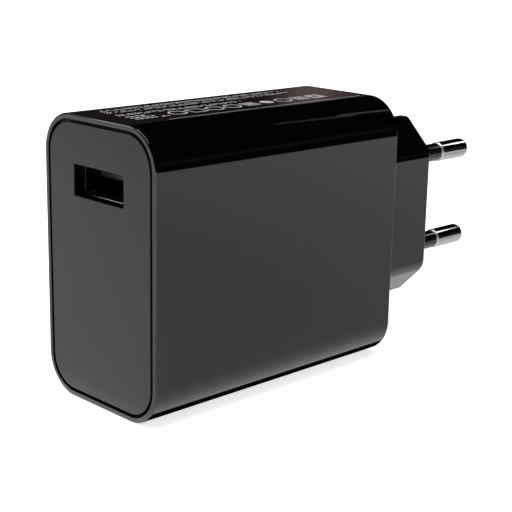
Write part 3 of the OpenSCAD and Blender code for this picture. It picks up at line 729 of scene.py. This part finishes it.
def ease(node, width, segments):
    """Rounds the sharp edges of a CAD node, after joining the points that its faces do not share."""
    NODES[node].modifiers.new("joined_faces", "WELD").merge_threshold = 0.002 * MM
    mod = NODES[node].modifiers.new("eased_edges", "BEVEL")
    mod.width = width * MM
    mod.segments = segments
    mod.limit_method = "ANGLE"
    mod.angle_limit = math.radians(35)
    mod.use_clamp_overlap = False
    mod.harden_normals = True


ease("usb_shell", 0.085, 3)
ease("usb_insulator", 0.08, 2)
for contact in ("power_contact", "data_minus_contact", "data_plus_contact", "ground_contact"):
    ease(contact, 0.03, 2)


# ---------------------------------------------------------------- floor, in metres

FLOOR_HALF = 6.0
floor_z = BODY_H / -2 * MM
corners = [(sx * FLOOR_HALF, sy * FLOOR_HALF, floor_z) for sx, sy in ((-1, -1), (1, -1), (1, 1), (-1, 1))]
floor_mesh = bpy.data.meshes.new("floor")
floor_mesh.from_pydata(corners, [], [(0, 1, 2, 3)])
floor = bpy.data.objects.new("floor", floor_mesh)
bpy.context.scene.collection.objects.link(floor)

mat = bpy.data.materials.new("floor_paper_and_glow")
mat.use_nodes = True
n = Nodes(mat.node_tree)
pos = n.add("ShaderNodeNewGeometry").outputs["Position"]
xyz = n.add("ShaderNodeSeparateXYZ", Vector=pos).outputs

# The gloss of the object sees a glow painted on the floor in place of lit white paper: it starts UNDER inside
# the case's sides, below the rounded edges, so it is dark under the case as a painted shadow, and ends REACH
# away from them, further out behind, beside and in front of the case.
UNDER, REACH = 1.9 * MM, 0.26
START_FADE, REACH_FADE = 0.6 * MM, 0.025
side_x, front_y = BODY_W / 2 * MM, Y_FRONT * MM
mid_y, half_y = (Y_FRONT + Y_BACK + 3.0) / 2 * MM, (Y_BACK - Y_FRONT + 2.0) / 2 * MM
aside = n.math("ABSOLUTE", xyz[0])
along = n.math("ABSOLUTE", n.minus(xyz[1], mid_y))
ahead = n.minus(front_y, xyz[1])
beyond = n.minus(xyz[0], side_x)
dx = n.math("MAXIMUM", n.minus(aside, side_x - UNDER), 0.0)
dy = n.math("MAXIMUM", n.minus(along, half_y), 0.0)
distance = n.math("SQRT", n.plus(n.times(dx, dx), n.times(dy, dy)))
behind = n.times(n.span(xyz[1], 0.02, 0.06, 0.0, 0.5), n.span(aside, 0.05, 0.09, 1.0, 0.0))
sideways = n.span(along, 0.10, 0.15, 0.5, 0.0)
forward = n.span(xyz[1], -0.09, -0.08, 0.2, 0.0)
past = n.minus(distance, n.plus(REACH, behind, sideways, forward))
glow_mask = n.times(
    n.span(distance, 0.0, START_FADE, 0.0, 1.0, True), n.span(past, 0.0, REACH_FADE, 1.0, 0.0, True))

# how bright it is: on the right it rises with the distance and again close to the case, and in front
# it is brighter still, most of all in a strip at the case; elsewhere it is 1
right_level = n.plus(
    n.span(beyond, 0.020, 0.155, 0.0, 0.28), n.span(xyz[1], -0.062, -0.004, 0.84, 0.74),
    n.span(beyond, 0.004, 0.018, 0.13, 0.0, True), n.span(beyond, 0.0, 0.005, 0.2, 0.0, True))
strip = n.times(n.span(ahead, 0.001, 0.006, 0.8, 0.0, True), n.span(aside, 0.018, 0.03, 1.0, 0.0))
corner = n.times(n.span(beyond, 0.005, 0.03, 0.0, 0.6, True), n.span(ahead, 0.02, 0.04, 0.0, 1.0, True))
front_level = n.plus(1.35, strip, corner)
is_right = n.span(beyond, -0.004, -0.002, 0.0, 1.0)
soft = n.span(aside, 0.016, 0.05, 0.002, 0.04)
is_front = n.math("DIVIDE", n.plus(ahead, soft), n.times(soft, 2.0), True)
level = n.plus(1.0, n.times(is_right, n.minus(right_level, 1.0)))
level = n.plus(n.times(level, n.minus(1.0, is_front)), n.times(front_level, is_front))

seen = n.add("ShaderNodeBsdfPrincipled", **{"Base Color": (0.86, 0.86, 0.86, 1), "Roughness": 0.9})
seen.inputs["Emission Color"].default_value = (1, 1, 1, 1)
seen.inputs["Emission Strength"].default_value = 0.72
# what reflections see: the painted glow, dark under the case as a painted shadow; the camera sees the evenly
# white floor
mirrored = n.add("ShaderNodeEmission", Strength=n.times(glow_mask, level))
is_gloss = n.add("ShaderNodeLightPath").outputs["Is Glossy Ray"]
n.end("ShaderNodeOutputMaterial", n.mix_shader(is_gloss, seen, mirrored))
floor_mesh.materials.append(mat)


# ---------------------------------------------------------------- room and lights, in metres and watts

world = bpy.data.worlds.new("studio")
bpy.context.scene.world = world
world.use_nodes = True
n = Nodes(world.node_tree)
ray = n.add("ShaderNodeLightPath")
bright = n.add("ShaderNodeBackground", Color=(1, 1, 1, 1), Strength=0.5)
white = n.add("ShaderNodeBackground", Color=(1, 1, 1, 1), Strength=1.1)
# a dim warm wall, low behind the left rear corner, is all that the gloss sees of the room
way = n.add("ShaderNodeSeparateXYZ", Vector=n.add("ShaderNodeTexCoord").outputs["Generated"]).outputs
azimuth = n.math("ARCTAN2", way[1], way[0])
warm_wall = n.times(
    n.span(azimuth, 2.33, 2.365, 1.0, 0.12, True), n.span(azimuth, 2.285, 2.325, 0.25, 1.0, True),
    n.span(way[2], 0.05, 0.10, 0.0, 1.0, True), n.span(way[2], 0.17, 0.24, 1.0, 0.0, True))
room = n.add("ShaderNodeBackground", Color=(0.20, 0.152, 0.148, 1), Strength=warm_wall)
unseen = n.mix_shader(ray.outputs["Is Glossy Ray"], bright, room)
n.end("ShaderNodeOutputWorld", n.mix_shader(ray.outputs["Is Camera Ray"], unseen, white))


def softbox(name, at, aim, w, h, power):
    data = bpy.data.lights.new(name, "AREA")
    data.shape = "RECTANGLE"
    data.size, data.size_y = w, h
    data.energy = power
    obj = bpy.data.objects.new(name, data)
    bpy.context.scene.collection.objects.link(obj)
    obj.location = at
    obj.rotation_mode = "QUATERNION"
    obj.rotation_quaternion = (Vector(aim) - Vector(at)).to_track_quat("-Z", "Y")
    obj.visible_camera = False


softbox("overhead", (0.0, -0.03, 0.8), (0, -0.03, 0), 0.7, 0.5, 4.0)
softbox("pin_light", (0.011, 0.090, 0.062), (0, 0.015, 0.0), 0.018, 0.015, 0.0036)
softbox("streak_rear", (0.022, 0.019, 0.060), (0.0126, -0.024, 0.0225), 0.004, 0.016, 0.00009)
softbox("streak_front", (0.022, 0.001, 0.060), (0.0126, -0.040, 0.0225), 0.004, 0.018, 0.00005)
softbox("port_card", (-0.036, -0.1105, 0.038), (0.003, -0.0745, 0.011), 0.016, 0.012, 0.0048)
softbox("front_card", (-0.25, -0.28, 0.235), (0, -0.076, 0.0), 0.26, 0.14, 0.25)


# ---------------------------------------------------------------- camera, in metres

CAMERA_AT, LENS = (0.160274, -0.197035, 0.056327), 89.07
YAW, PITCH, ROLL = (math.radians(a) for a in (45.736, -15.123, 1.136))

lens = bpy.data.cameras.new("camera")
lens.sensor_width = 36.0
lens.lens = LENS
lens.clip_start, lens.clip_end = 0.01, 50.0
camera = bpy.data.objects.new("camera", lens)
bpy.context.scene.collection.objects.link(camera)
view = Vector((-math.sin(YAW) * math.cos(PITCH), math.cos(YAW) * math.cos(PITCH), math.sin(PITCH)))
level_x = view.cross(up).normalized()
level_y = level_x.cross(view)
camera_x = level_x * math.cos(ROLL) + level_y * math.sin(ROLL)
camera_y = level_y * math.cos(ROLL) - level_x * math.sin(ROLL)
camera_axes = Matrix((camera_x, camera_y, -view)).transposed()
camera.matrix_world = Matrix.Translation(CAMERA_AT) @ camera_axes.to_4x4()
bpy.context.scene.camera = camera
bpy.context.scene.view_settings.view_transform = "Standard"
